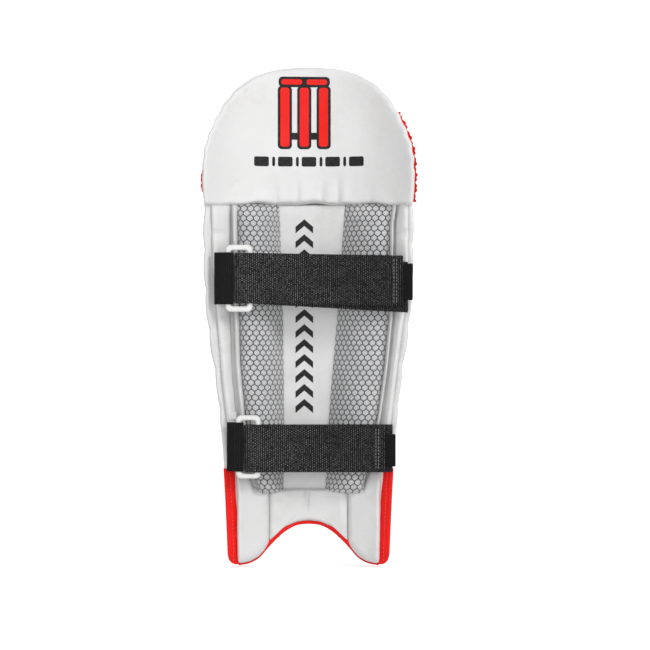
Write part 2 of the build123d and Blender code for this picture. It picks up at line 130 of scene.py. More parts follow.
# Materials
class Look:
    """A procedural material, built up from its nodes."""

    def __init__(self, name, roughness=0.5, settings=None):
        self.material = bpy.data.materials.new(name)
        self.material.use_nodes = True
        self.nodes = self.material.node_tree.nodes
        self.links = self.material.node_tree.links
        self.shader = self.nodes["Principled BSDF"]
        for key, value in {"Roughness": roughness, **(settings or {})}.items():
            self.put(self.shader.inputs[key], value)

    def node(self, kind, inputs=None, **settings):
        made = self.nodes.new("ShaderNode" + kind)
        for key, value in settings.items():
            setattr(made, key, value)
        for key, value in (inputs or {}).items():
            self.put(made.inputs[key], value)
        return made

    def put(self, socket, value):
        if isinstance(value, bpy.types.NodeSocket):
            self.links.new(value, socket)
        else:
            socket.default_value = value

    def math(self, operation, *values):
        return self.node("Math", dict(enumerate(values)), operation=operation).outputs[0]

    def times(self, a, b):
        return self.math("MULTIPLY", a, b)

    def plus(self, a, b):
        return self.math("ADD", a, b)

    def sine(self, value, rate):
        return self.math("SINE", self.times(value, rate))

    def span(self, value, low, high, to_low=0.0, to_high=1.0):
        inputs = dict(enumerate((value, low, high, to_low, to_high)))
        return self.node("MapRange", inputs, interpolation_type="SMOOTHSTEP").outputs[0]

    def mix(self, share, a, b):
        made = self.node("Mix", data_type="RGBA")
        for socket, value in zip((made.inputs[0], made.inputs[6], made.inputs[7]), (share, a, b)):
            self.put(socket, value if isinstance(value, (bpy.types.NodeSocket, float)) else (*value, 1.0))
        return made.outputs[2]

    def scaled(self, vector, factor):
        return self.node("VectorMath", {0: vector, 3: float(factor)}, operation="SCALE").outputs[0]

    def cloth(self):
        """The cloth's own coordinates in millimetres, across it and along it."""
        split = self.node("SeparateXYZ", {0: self.scaled(self.node("UVMap").outputs[0], 1000)})
        return split.outputs[0], split.outputs[1]

    def place(self):
        """Where a point of the object is, in millimetres."""
        return self.scaled(self.node("TexCoord").outputs["Object"], 1000)

    def noise(self, vector, scale, detail=3.0, roughness=0.5):
        inputs = {"Vector": vector, "Scale": float(scale), "Detail": detail, "Roughness": roughness}
        return self.node("TexNoise", inputs).outputs[0]

    def finish(self, colour, roughness, bumps):
        self.put(self.shader.inputs["Base Color"], colour)
        self.put(self.shader.inputs["Roughness"], roughness)
        normal = None
        for height, distance, strength in bumps:
            bump = self.node("Bump", {"Strength": strength, "Distance": distance, "Height": height})
            if normal is not None:
                self.links.new(normal, bump.inputs["Normal"])
            normal = bump.outputs[0]
        self.links.new(normal, self.shader.inputs["Normal"])
        return self.material


def leather_cloth(name, colour, dirt):
    """Soft polyurethane leather: fine pebble grain, faint creases and slight soiling."""
    look = Look(name, settings={"Coat Weight": 0.06, "Coat Roughness": 0.35, "Sheen Weight": 0.05})
    place = look.place()
    grain = look.node("TexVoronoi", {"Vector": place, "Scale": 1.35}, feature="SMOOTH_F1").outputs["Distance"]
    fine = look.noise(place, 3.1, 2.0)
    crease = look.noise(place, 0.085, 4.0, 0.62)
    patch = look.noise(place, 0.022, 3.0, 0.6)
    soil = look.times(look.span(patch, 0.42, 0.74), look.span(crease, 0.35, 0.7))
    tone = look.mix(look.times(soil, 0.55), colour, dirt)
    tone = look.mix(look.span(grain, 0.1, 0.75, 0.10, 0.0), tone, tuple(c * 0.78 for c in colour))
    rough = look.plus(look.span(crease, 0.3, 0.75, 0.40, 0.52), look.times(fine, 0.08))
    return look.finish(tone, rough, [(grain, 0.00012, 0.35), (crease, 0.0016, 0.30), (fine, 0.00006, 0.3)])


def bound_cloth(name, colour, shade):
    """Bright woven binding tape with a coated face."""
    look = Look(name, settings={"Specular IOR Level": 0.22})
    across, along = look.cloth()
    weave = look.times(look.sine(along, 5.2), look.sine(across, 5.2))
    place = look.place()
    patch = look.noise(place, 0.06, 3.0)
    worn = look.noise(place, 0.5, 4.0, 0.7)
    tone = look.mix(look.span(patch, 0.35, 0.7, 0.0, 0.5), colour, shade)
    pale = tuple(min(1, c * 1.1 + 0.02) for c in colour)
    tone = look.mix(look.span(worn, 0.62, 0.8, 0.0, 0.35), tone, pale)
    rough = look.span(worn, 0.3, 0.7, 0.36, 0.5)
    return look.finish(tone, rough, [(weave, 0.00012, 0.35), (patch, 0.0012, 0.3)])


def air_mesh():
    """Open net of staggered rounded cells over a pale lining."""
    look = Look("air_mesh", 0.85, {"Sheen Weight": 0.25, "Sheen Roughness": 0.5})
    across, along = look.cloth()
    wide, row = 7.9, 5.6  # pitch across, and from row to row
    lean = wide / 2 / row  # slope of a cell's ends
    point = (wide**2 / 8 + row**2 / 2) / row

    def cell(shift):
        parts = []
        for value, size in ((across, wide), (along, 2 * row)):
            whole = look.plus(look.math("DIVIDE", value, size), shift)
            near = look.math("SUBTRACT", look.math("FRACT", look.plus(whole, 0.5)), 0.5)
            parts.append(look.times(look.math("ABSOLUTE", near), size))
        ends = look.plus(parts[1], look.times(parts[0], lean))
        sharp = look.math("MAXIMUM", look.math("DIVIDE", parts[0], wide / 2),
                          look.math("DIVIDE", ends, point))
        squares = [look.math("POWER", part, 2.0) for part in parts]
        reach = look.math("SQRT", look.plus(*squares))
        return look.math("MAXIMUM", sharp, look.math("DIVIDE", reach, wide * 0.505))

    edge = look.math("MINIMUM", cell(0.0), cell(0.5))
    net = look.span(edge, 0.81, 0.91)
    hollow = look.span(edge, 0.0, 0.78, 1.0, 0.0)
    strands = look.times(look.sine(across, 7.5), look.sine(along, 7.5))
    fuzz = look.noise(look.place(), 0.85, 3.0, 0.7)
    patch = look.noise(look.place(), 0.03, 3.0)
    lining = look.mix(look.span(fuzz, 0.38, 0.62, 0.0, 0.9), (0.70, 0.70, 0.71), (0.50, 0.50, 0.51))
    lining = look.mix(look.times(hollow, 0.35), lining, (0.76, 0.76, 0.76))
    lining = look.mix(look.span(patch, 0.35, 0.7, 0.0, 0.25), lining, (0.42, 0.42, 0.43))
    cord = look.mix(look.span(fuzz, 0.35, 0.65), (0.022, 0.022, 0.024), (0.075, 0.075, 0.08))
    return look.finish(look.mix(net, lining, cord), look.span(net, 0.0, 1.0, 0.9, 0.62),
                       [(net, 0.0009, 0.8), (strands, 0.0002, 0.35), (fuzz, 0.0003, 0.25)])


def woven(name, pile):
    """Black webbing with ribs across it, and pale pile points where it takes hook tape."""
    look = Look(name, 0.8, {"Specular IOR Level": 0.18, "Sheen Weight": 0.02})
    across, along = look.cloth()
    column_pitch, loop_pitch = 2.3, 1.9
    threads = look.math("SINE", look.plus(look.times(along, 4.6), look.times(across, 2.0)))
    weave = look.plus(look.times(look.sine(across, 3.9), 0.6), look.times(threads, 0.4))
    column = look.sine(across, 2 * math.pi / column_pitch)
    loop = look.math("SINE", look.plus(look.times(along, 2 * math.pi / loop_pitch),
                                       look.times(across, math.pi / column_pitch)))
    dots = look.plus(look.times(column, 0.5), look.times(loop, 0.5))
    fuzz = look.noise(look.place(), 0.9, 4.0, 0.75)
    patch = look.noise(look.place(), 0.035, 3.0)
    tone = look.mix(look.span(weave, -0.6, 0.8), (0.003, 0.003, 0.0033), (0.012, 0.0118, 0.0125))
    specks = look.times(look.span(dots, 0.20, 0.85), look.span(fuzz, 0.42, 0.58))
    # Painted shade: the pile points are painted brighter towards the rings at -X and dimmer towards the free
    # ends at +X, standing in for light falling across the strap
    position = look.node("SeparateXYZ", {0: look.place()}).outputs[0]
    specks = look.times(specks, look.span(position, -80.0, 90.0, 1.35, 0.72))
    tone = look.mix(look.times(specks, pile), tone, (0.62, 0.62, 0.63))
    tone = look.mix(look.span(patch, 0.4, 0.75, 0.0, 0.40), tone, (0.009, 0.009, 0.0095))
    return look.finish(tone, look.span(fuzz, 0.3, 0.7, 0.62, 0.9),
                       [(weave, 0.0007, 0.7), (specks, 0.0005, 0.6 * pile), (fuzz, 0.0004, 0.4)])


def plain_look(name, colour, other, roughness, scale, stretch=(1.0, 1.0, 1.0), bump=0.0002):
    """Moulded plastic, foam, cane or thread: two close colours mixed along a grain."""
    look = Look(name, roughness, {"Specular IOR Level": 0.5 if roughness < 0.4 else 0.15})
    place = look.node("VectorMath", {0: look.place(), 1: stretch}, operation="MULTIPLY").outputs[0]
    grain = look.noise(place, scale, 5.0, 0.6)
    tone = look.mix(look.span(grain, 0.3, 0.7), colour, other)
    rough = look.span(grain, 0.25, 0.75, roughness - 0.06, roughness + 0.08)
    return look.finish(tone, rough, [(grain, bump, 0.4)])


WHITE = leather_cloth("white_leather_cloth", (0.790, 0.790, 0.788), (0.67, 0.66, 0.64))
WHITE_SMOOTH = leather_cloth("white_cup_cloth", (0.805, 0.805, 0.803), (0.69, 0.685, 0.67))
RED = bound_cloth("red_binding", (0.97, 0.010, 0.007), (0.78, 0.006, 0.005))
NET = air_mesh()
WEBBING = woven("black_webbing", 0.62)
HOLDER_WEBBING = woven("black_holder_webbing", 0.05)
RING = plain_look("white_moulded_plastic", (0.84, 0.84, 0.83), (0.78, 0.78, 0.77), 0.30, 0.22, bump=0.0003)
FOAM = plain_look("foam", (0.78, 0.77, 0.72), (0.70, 0.69, 0.63), 0.9, 1.6, bump=0.0006)
SHEET = plain_look("stiffener_sheet", (0.55, 0.55, 0.56), (0.47, 0.47, 0.48), 0.45, 0.2)
CANE = plain_look("cane", (0.60, 0.42, 0.22), (0.42, 0.27, 0.12), 0.5, 0.5, stretch=(1.0, 1.0, 0.04))
HOOKS = plain_look("hook_tape", (0.02, 0.02, 0.02), (0.06, 0.06, 0.06), 0.6, 2.4, bump=0.0008)
WHITE_THREAD = plain_look("white_thread", (0.80, 0.80, 0.79), (0.66, 0.66, 0.65), 0.6, 3.0)
RED_THREAD = plain_look("pale_red_thread", (0.90, 0.16, 0.12), (0.70, 0.05, 0.04), 0.6, 3.0)
GREY_THREAD = plain_look("grey_thread", (0.20, 0.20, 0.21), (0.34, 0.34, 0.35), 0.6, 3.0)
RED_FILM = bound_cloth("red_print_film", (0.92, 0.012, 0.008), (0.80, 0.008, 0.006))
BLACK_FILM = plain_look("black_print_film", (0.012, 0.012, 0.013), (0.028, 0.028, 0.030), 0.42, 0.3)


# Mesh building
def make(name, verts, faces, material, uvs):
    """A smooth mesh piece. uvs are one per vertex, in metres of cloth."""
    mesh = bpy.data.meshes.new(name)
    mesh.from_pydata([tuple(v) for v in verts], [], [tuple(int(i) for i in f) for f in faces])
    mesh.polygons.foreach_set("use_smooth", [True] * len(mesh.polygons))
    layer = mesh.uv_layers.new(name="UVMap")
    corners = np.empty(len(mesh.loops), np.int32)
    mesh.loops.foreach_get("vertex_index", corners)
    layer.data.foreach_set("uv", np.asarray(uvs, float)[corners].ravel())
    mesh.materials.append(material)
    piece = bpy.data.objects.new(name, mesh)
    bpy.context.scene.collection.objects.link(piece)
    tidy = bmesh.new()
    tidy.from_mesh(mesh)
    bmesh.ops.recalc_face_normals(tidy, faces=tidy.faces)
    tidy.to_mesh(mesh)
    tidy.free()
    return piece


def cloth_uv(grid):
    """Distances along the rows and columns of a grid of points."""
    across = np.linalg.norm(np.diff(grid, axis=1), axis=2)
    across = np.concatenate([np.zeros((len(grid), 1)), np.cumsum(across, axis=1)], axis=1)
    across -= across[:, across.shape[1] // 2][:, None]
    along = np.linalg.norm(np.diff(grid, axis=0), axis=2)
    along = np.concatenate([np.zeros((1, grid.shape[1])), np.cumsum(along, axis=0)], axis=0)
    return np.stack([across, along], axis=2)


def two_faced(name, top, bottom, material, level_rows=False):
    """A closed piece from two grids of points that share their border."""
    rows, columns, _ = top.shape
    index = np.arange(rows * columns).reshape(rows, columns)
    border = np.zeros((rows, columns), bool)
    border[[0, -1], :] = border[:, [0, -1]] = True
    below = index.copy()
    below[~border] = rows * columns + np.arange((~border).sum())
    verts = np.concatenate([top.reshape(-1, 3), bottom[~border]])
    uv, uv_below = cloth_uv(top), cloth_uv(bottom)
    if level_rows:
        uv[:, :, 1], uv_below[:, :, 1] = top[:, :, 2], bottom[:, :, 2]
    uvs = np.concatenate([uv.reshape(-1, 2), uv_below[~border]])
    faces = []
    for lattice, flip in ((index, False), (below, True)):
        a, b, c, d = lattice[:-1, :-1], lattice[:-1, 1:], lattice[1:, 1:], lattice[1:, :-1]
        quads = np.stack([a, b, c, d] if not flip else [d, c, b, a], axis=2).reshape(-1, 4)
        faces.extend(quads.tolist())
    return make(name, verts, faces, material, uvs)


def spread(count, ends):
    """Values from 0 to 1 that crowd towards both ends, more so for a larger share."""
    t = np.linspace(0, 1, count)
    crowded = (1 - np.cos(math.pi * t)) / 2
    return crowded * ends + t * (1 - ends)


def rounded(distance, radius):
    """0 at an edge rising to 1 at this distance from it, as a quarter circle does."""
    t = np.clip(distance / radius, 0, 1)
    return np.sqrt(1 - (1 - t) ** 2)


def tube(name, rings, material, uvs=None):
    """A closed skin through rings of points, capped at both ends."""
    count, around, _ = rings.shape
    verts = list(rings.reshape(-1, 3)) + [rings[0].mean(0), rings[-1].mean(0)]
    uv = cloth_uv(rings) if uvs is None else uvs
    flat = list(uv.reshape(-1, 2)) + [uv[0].mean(0), uv[-1].mean(0)]
    faces = []
    for k in range(count - 1):
        for j in range(around):
            n = (j + 1) % around
            faces.append((k * around + j, k * around + n, (k + 1) * around + n, (k + 1) * around + j))
    for j in range(around):
        n = (j + 1) % around
        faces.append((count * around, n, j))
        faces.append((count * around + 1, (count - 1) * around + j, (count - 1) * around + n))
    return make(name, verts, faces, material, flat)


def surface_of(*pieces):
    """For finding where a line meets these pieces."""
    return [BVHTree.FromPolygons([v.co for v in piece.data.vertices],
                                 [tuple(p.vertices) for p in piece.data.polygons])
            for piece in pieces]


def drop(trees, x, z, side=-1, lift=0.0):
    """The nearest point over (x, z), seen from the leg (side -1) or from the ball (side 1)."""
    best = None
    for tree in trees:
        hit, normal, _, distance = tree.ray_cast(Vector((x, side * 0.4, z)), Vector((0, -side, 0)))
        if hit is not None and (best is None or distance < best[2]):
            best = (hit, normal, distance)
    if best is None:
        return None
    hit, normal, _ = best
    if normal.y * side < 0:
        normal = -normal
    return hit + normal * lift, normal


THREAD, THREAD_SUNK = 0.00038, 0.00005  # a thread's radius, and how deep it lies in the cloth


def threads(name, lines, material, trees, side=-1, length=0.0030, gap=0.0014):
    """Rows of raised stitches along lines of (x, z), laid on the surface there."""
    verts, faces = [], []
    for line in lines:
        along = lengths(line)
        at = 0.0
        while at + length < along[-1]:
            spots = [[np.interp(where, along, line[:, k]) for k in (0, 1)]
                     for where in (at, at + length / 2, at + length)]
            ends = [drop(trees, x, z, side) for x, z in spots]
            at += length + gap
            if any(e is None for e in ends) or (ends[0][0] - ends[2][0]).length > 2.2 * length:
                continue
            (a, _), (m, normal), (b, _) = ends
            ahead = (b - a).normalized()
            across = ahead.cross(normal).normalized()
            up = across.cross(ahead).normalized()
            if up.dot(normal) < 0:
                up = -up
            base = len(verts)
            sections = ((a, 0.35, 0.0), (a.lerp(m, 0.35), 1.0, 0.8), (m, 1.0, 1.0),
                        (b.lerp(m, 0.35), 1.0, 0.8), (b, 0.35, 0.0))
            for centre, fat, rise in sections:
                for j in range(6):
                    angle = math.pi * j / 3
                    offset = THREAD * fat * (across * (math.cos(angle) * 1.15) + up * math.sin(angle))
                    verts.append(centre + offset + up * (THREAD * (rise * 0.8) - THREAD_SUNK))
            for k in range(base, base + 24, 6):
                for j in range(6):
                    n = (j + 1) % 6
                    faces.append((k + j, k + n, k + 6 + n, k + 6 + j))
            faces.append(tuple(base + j for j in range(5, -1, -1)))
            faces.append(tuple(base + 24 + j for j in range(6)))
    return make(name, verts, faces, material, [(v.x, v.z) for v in verts])


KNEE_BEND = ("knee", FLEX_LOW, FLEX_HIGH)


def settle(piece, body, bend=None, nodes=None):
    """Puts a piece on its body, or where a bend is given only bakes its place into its mesh, in place of
    these CAD nodes or its namesake.
    """
    if bend:
        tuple(bend[1])
        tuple(bend[2])
        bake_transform(piece)
    else:
        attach(piece, body)
    nodes = nodes or [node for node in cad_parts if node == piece.name.split(".")[0]]
    if nodes:
        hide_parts(*nodes)
    return piece


def puff(piece, pressure, pinned, cap, frames=14, stiffness=8.0):
    """Swells a piece with the cloth simulation, holding the pinned vertices."""
    mesh = piece.data
    before = np.array([v.co for v in mesh.vertices])
    group = piece.vertex_groups.new(name="sewn")
    group.add([int(i) for i in np.flatnonzero(pinned)], 1.0, "REPLACE")
    cloth = piece.modifiers.new("swell", "CLOTH")
    cloth.settings.quality = 4
    cloth.settings.mass = 0.3
    cloth.settings.tension_stiffness = cloth.settings.compression_stiffness = stiffness
    cloth.settings.bending_stiffness = 0.6
    cloth.settings.use_pressure = True
    cloth.settings.uniform_pressure_force = pressure
    cloth.settings.effector_weights.gravity = 0
    cloth.settings.vertex_group_mass = "sewn"
    cloth.collision_settings.use_collision = False
    scene = bpy.context.scene
    for number in range(1, frames + 1):
        scene.frame_set(number)
    graph = bpy.context.evaluated_depsgraph_get()
    swollen = piece.evaluated_get(graph).to_mesh()
    after = np.array([v.co for v in swollen.vertices])
    piece.evaluated_get(graph).to_mesh_clear()
    piece.modifiers.remove(cloth)
    piece.vertex_groups.remove(group)
    move = after - before
    far = np.linalg.norm(move, axis=1, keepdims=True)
    move *= np.minimum(1, cap / np.maximum(far, 1e-9))
    mesh.vertices.foreach_set("co", (before + move).ravel())
    scene.frame_set(1)


# Shin shell
def foot_line(x):
    """Height of the pad's lower edge."""
    return np.interp(np.abs(x), FOOT_EDGE[:, 0], FOOT_EDGE[:, 1])


def scallop(z, side):
    """How far the sewn edge swells out between its tacked points."""
    fade = np.clip((z - 0.13) / 0.05, 0, 1)
    lumps = np.abs(np.sin(math.pi * (z - (0.006 if side > 0 else 0.0)) / 0.0445)) ** 0.7
    return (lumps - 0.75) * 0.0019 * fade


def shin_shell():
    across = spread(121, 0.55) * 2 - 1
    up = spread(150, 0.35)
    u, v = np.meshgrid(across, up)
    low = foot_line(u * 0.0905)
    z = low + (SHIN_TOP - low) * v
    width = half_width(z) + np.where(u > 0, scallop(z, 1), scallop(z, -1))
    x = u * width
    edge = np.minimum(np.minimum((1 - np.abs(u)) * width, (z - low)), (SHIN_TOP + 0.001 - z) * 3)
    thick = rounded(edge, SHELL / 2)
    thick[[0, -1], :] = thick[:, [0, -1]] = 0
    ripple = 0.0004 * waves(x, z, 0.05, 3) * thick
    middle = -SHELL / 2
    grids = []
    for sign in (1, -1):
        height = middle + sign * (SHELL / 2 * thick) + ripple
        grids.append(np.stack([x, wall(x, height), z], axis=2))
    shell = two_faced("shin_shell", grids[0], grids[1], WHITE)
    return settle(shell, "shin", KNEE_BEND, ("shin_liner", "shin_face", "side_edging_left",
                                                  "side_edging_right", "knee_hinge_cloth"))


shell = shin_shell()


# Long pads on the leg face
def long_pad(name, inner, outer, low, high, rise, material, radius, seed, columns=41, ripple=0.0005,
             extra=None, end_radius=None):
    """A pad between two edges up the shin, each a list of (x, z). rise is its height or a function."""
    base, rows = 0.0002, 150
    inner, outer = (np.asarray(e, float) * MM for e in (inner, outer))
    v = low + (high - low) * spread(rows, 0.3)
    u = spread(columns, 0.6)
    zz = np.repeat(v[:, None], columns, axis=1)
    left = np.interp(v, inner[:, 1], inner[:, 0])[:, None]
    right = np.interp(v, outer[:, 1], outer[:, 0])[:, None]
    x = left + (right - left) * u[None, :]
    edge = np.minimum(u, 1 - u)[None, :] * np.abs(right - left)
    ends = np.minimum(zz - low, high - zz)
    cover = rounded(edge, radius) * rounded(ends, end_radius or radius)
    height = rise(x, zz) if callable(rise) else rise
    height = height * cover
    height = height + ripple * waves(x, zz, 0.035, seed) * cover
    if extra is not None:
        height = height + extra(x, zz) * cover
    top = np.stack([x, wall(x, base + height), zz], axis=2)
    bottom = np.stack([x, wall(x, base - 0.0012 * cover), zz], axis=2)
    return two_faced(name, top, bottom, material)


# Half outlines by side, as (across, up): the net's two edges, the wing padding's inner edge and outer seam
LONG_PADS = {
    "left": dict(inner=((28.6, 83), (27.4, 160), (28.6, 278), (33, 409)),
                 outer=((57, 83), (61, 100), (71.5, 168), (77, 225), (79, 288), (81, 409)), strip=5.4,
                 wing=((66, 84), (72, 110), (81, 166), (86.4, 225), (88, 290), (88, 409)),
                 seam=((77.5, 84), (80.5, 112), (92, 166), (97.2, 211), (102.5, 278), (107, 340),
                       (109, 409))),
    "right": dict(inner=((18.5, 83), (22.5, 166), (31.9, 278), (40.9, 409)),
                  outer=((62, 83), (65, 100), (78.3, 168), (86, 225), (91.5, 281), (92.5, 385), (96, 409)),
                  strip=3.4,
                  wing=((70, 84), (76, 110), (84, 166), (91.5, 225), (96.5, 281), (97.5, 385), (101, 409)),
                  seam=((78.5, 84), (82, 112), (93.5, 166), (100, 225), (107, 278), (111.6, 310),
                        (112.0, 409))),
}


def flip(points, side):
    return [(side * x, z) for x, z in points]


def tucks(x, z):
    """Soft cross creases where the wing's filling is tacked at its seam."""
    total = np.zeros_like(x)
    for z_tuck in (0.196, 0.2405, 0.285, 0.3295, 0.374):
        slant = z_tuck + 0.10 * (np.abs(x) - 0.10)
        total -= 0.0028 * bump_line(z - slant, 0.0042) * np.clip((np.abs(x) - 0.088) / 0.02, 0, 1)
    return total


SIDES = ((-1, "left"), (1, "right"))
wings = []
for side, word in SIDES:
    edges = [flip(LONG_PADS[word][edge], side) for edge in ("wing", "seam")]
    wing = long_pad(f"wing_pad_{word}", *edges, 0.1095, SHIN_TOP, 0.0072, WHITE, 0.0075, 11 + side,
                    columns=25, extra=tucks, end_radius=0.012, ripple=0.0007)
    wings.append(settle(wing, "shin", KNEE_BEND))

channel_sides = [[(side * (x + 2), z) for x, z in LONG_PADS[word]["inner"]] for side, word in SIDES]
channel = long_pad("channel_panel", *channel_sides, 0.0855, SHIN_TOP, 0.0026, WHITE, 0.012, 21, columns=37,
                   ripple=0.0006)
settle(channel, "shin", KNEE_BEND)


# Bolsters
BOLSTER_LOW, BOLSTER_TOP = 0.0812, 0.4088
CREST = 0.30  # where a bolster is highest, from -1 at the channel to 1 at the wing


def cushion(t):
    """Section of a bolster: a long slope down to the channel and a rounder one to the wing."""
    slope = np.clip((CREST - t) / (1 + CREST), 0, 1)
    turn = np.clip((t - CREST) / (1 - CREST), 0, 1)
    return np.where(t < CREST, (1 - slope**1.9) ** 0.80, (1 - turn**2.5) ** 0.5)


def bolster(side, word):
    """A long cushion pulled over its foam, with the net running evenly over it."""
    rows, around = 170, 61
    inner, outer = (np.asarray(LONG_PADS[word][k], float) * MM for k in ("inner", "outer"))
    fine = np.linspace(-1, 1, 400)
    grid = np.zeros((rows, around, 3))
    low_grid = np.zeros((rows, around, 3))
    for k, zk in enumerate(BOLSTER_LOW + (BOLSTER_TOP - BOLSTER_LOW) * spread(rows, 0.3)):
        a, b = (np.interp(zk, edge[:, 1], edge[:, 0]) for edge in (inner, outer))
        end = float(rounded(np.array(zk - BOLSTER_LOW), 0.015))
        top_end = np.clip((BOLSTER_TOP - zk) / 0.019, 0, 1)
        end *= 0.16 + 0.84 * float(np.sin(top_end * math.pi / 2) ** 0.8)
        sag = 1 + 0.030 * math.sin(zk * 61 + side) + 0.018 * math.sin(zk * 137 + 2 * side)
        x = a + (b - a) * (fine + 1) / 2
        rise = wall(x, 0) - np.interp(x, (0.020, 0.055, 0.090), (-0.0285, -0.0350, -0.0450))
        height = rise * cushion(fine) * end * sag
        along = np.concatenate([[0], np.cumsum(np.hypot(np.diff(x), np.diff(height)))])
        where = np.interp(np.linspace(0, along[-1], around), along, np.arange(len(fine)))
        x, height = (np.interp(where, np.arange(len(fine)), values) for values in (x, height))
        grid[k] = np.stack([side * x, wall(x, 0.0004) - height, np.full(around, zk)], axis=1)
        cover = np.sin(np.linspace(0, math.pi, around))
        low_grid[k] = np.stack([side * x, wall(x, 0.0002) + 0.001 * cover * end, np.full(around, zk)], axis=1)
    fade = np.sin(np.linspace(0, math.pi, around))[None, :]
    grid[:, :, 1] += waves(grid[:, :, 0], grid[:, :, 2], 0.045, 31 + side) * 0.0008 * fade
    piece = two_faced(f"bolster_{word}", grid, low_grid, NET, level_rows=True)
    column = np.tile(np.arange(around), rows)
    row_index = np.repeat(np.arange(rows), around)
    pinned = np.ones(len(piece.data.vertices), bool)
    pinned[: rows * around] = (row_index < 1) | (row_index > rows - 2) | (column < 1) | (column > around - 2)
    puff(piece, 1.0, pinned, 0.0022)
    settle(piece, "shin", KNEE_BEND, (f"bolster_cover_{word}", f"bolster_foam_{word}"))


def strip_rise(x, z):
    """Height of the edging that lies along a bolster's outer side."""
    return 0.0125 + 0.0008 * np.sin(z * 210)


for side, word in SIDES:
    bolster(side, word)
    inner, outer = ([(side * (x + move), z) for x, z in LONG_PADS[word]["outer"]]
                    for move in (-1.2, LONG_PADS[word]["strip"]))
    strip = long_pad(f"bolster_edging_{word}", inner, outer, 0.1050, SHIN_TOP, strip_rise, WHITE, 0.0036,
                     41 + side, columns=17, end_radius=0.014, ripple=0.0004)
    settle(strip, "shin", KNEE_BEND)


# Instep
def grown(name, outline, centre, rings, surface, material):
    """A closed skin grown from a centre to an outline of (x, z).

    surface gives Y from the face (0 for the front, 1 for the back), the share of the way out, x and z.
    """
    count = len(outline)
    verts, faces = [], []
    for face in (0, 1):
        loops = []
        for share in (0.0, *np.sin(np.linspace(0, math.pi / 2, rings + 1)[1:])):
            if face == 1 and share >= 1:
                loops.append(rim)
                continue
            x, z = (centre + (outline - centre) * share if share else centre[None, :]).T
            loops.append(range(len(verts), len(verts) + len(x)))
            verts.extend(np.stack([x, surface(face, share, x, z), z], axis=1))
        if face == 0:
            rim = loops[-1]
        for j in range(count):
            n = (j + 1) % count
            faces.append((loops[0][0], loops[1][j], loops[1][n]))
            faces.extend((a[j], b[j], b[n], a[n]) for a, b in zip(loops[1:], loops[2:]))
    return make(name, verts, faces, material, [(x, z) for x, _, z in verts])


def star_pad(name, outline, centre, rise, radius, base=0.0002, rings=26, seed=1, extra=None, side=-1,
             under=0.0012, ripple=0.0005):
    """A pad inside a closed outline of (x, z), on the leg face, or on the ball face where side is 1."""
    centre = np.asarray(centre, float)
    width = np.linalg.norm(outline - centre, axis=1).mean()

    def surface(face, share, x, z):
        cover = rounded(np.full(len(x), (1 - share) * width), radius)
        if face == 1:
            return wall(x, base + side * under * cover)
        height = rise * cover + ripple * waves(x, z, 0.035, seed) * cover
        if extra is not None:
            height = height + extra(x, z) * np.maximum(cover, 0.12)
        return wall(x, base - side * height)

    return grown(name, outline, centre, rings, surface, WHITE)


def closed_loop(points, count):
    """Evenly spaced points round a polygon with its corners eased."""
    points = np.asarray(points, float) * MM
    looped = np.concatenate([points, points[:1]])
    along = lengths(looped)
    where = np.linspace(0, along[-1], count * 4, endpoint=False)
    ring = np.stack([np.interp(where, along, looped[:, k]) for k in (0, 1)], axis=1)
    for _ in range(10):
        ring = (np.roll(ring, 1, axis=0) + ring * 2 + np.roll(ring, -1, axis=0)) / 4
    return ring[::4]


def instep_crease(x, z):
    """The fold down the middle of the instep pad."""
    return -0.0030 * bump_line(x + 0.002, 0.0022) * np.clip((z - 0.058) / 0.012, 0, 1)


instep_loop = closed_loop([(-44.5, 27), (-38, 35), (-27, 43), (-13, 48.6), (0, 50.4), (13, 48.6), (27, 43),
                           (38, 35), (44.5, 27), (44.0, 83.5), (24, 86.5), (-24, 86.5), (-44.0, 83.5)], 120)
instep = star_pad("instep_pad", instep_loop, (0.0, 0.0705), 0.0070, 0.0085, seed=51, extra=instep_crease)
settle(instep, "shin")
for side, word in SIDES:
    loop = closed_loop(flip([(45.0, 26.0), (50, 17), (57, 9.6), (66, 4.8), (76, 3.0), (79.5, 4.2), (80.2, 12),
                             (80.8, 45), (80.6, 80), (81.8, 108.5), (71, 109), (65.5, 99), (62.5, 89),
                             (45.0, 85.5), (44.6, 55)], side), 140)
    lobe = star_pad(f"instep_lobe_{word}", loop, (side * 0.0625, 0.045), 0.0072, 0.0100, seed=53 + side)
    settle(lobe, "shin")


# Bindings
TAPE = 0.0009  # how far binding tape stands off the faces that it is folded over


def wrapped_edge(name, path, inward, widths, front=TAPE, back=TAPE, around=26):
    """Tape folded over the pad's edge. path is (x, z) on the edge, inward the unit direction into the pad."""
    rings = []
    top, bottom = front, -SHELL - back
    for (x, z), (ix, iz), width in zip(path, inward, widths):
        ring = []
        for j in range(around):
            angle = 2 * math.pi * j / around
            cosine, sine = math.cos(angle), math.sin(angle)
            share = math.copysign(abs(cosine) ** 0.45, cosine) * 0.5 + 0.5
            lean = math.copysign(abs(sine) ** 0.55, sine) * 0.5 + 0.5
            reach = -0.0007 + share * (width + 0.0007)
            height = bottom + (top - bottom) * lean
            px, pz = x + ix * reach, z + iz * reach
            ring.append((px, float(wall(np.array(px), height)), pz))
        rings.append(ring)
    return tube(name, np.array(rings), RED)


def into_pad(path):
    """Unit directions from an edge along the foot up into the pad."""
    ahead = np.gradient(path, axis=0)
    ahead /= np.linalg.norm(ahead, axis=1, keepdims=True)
    inward = np.stack([-ahead[:, 1], ahead[:, 0]], axis=1)
    return inward * np.where(inward[:, 1] < 0, -1, 1)[:, None]


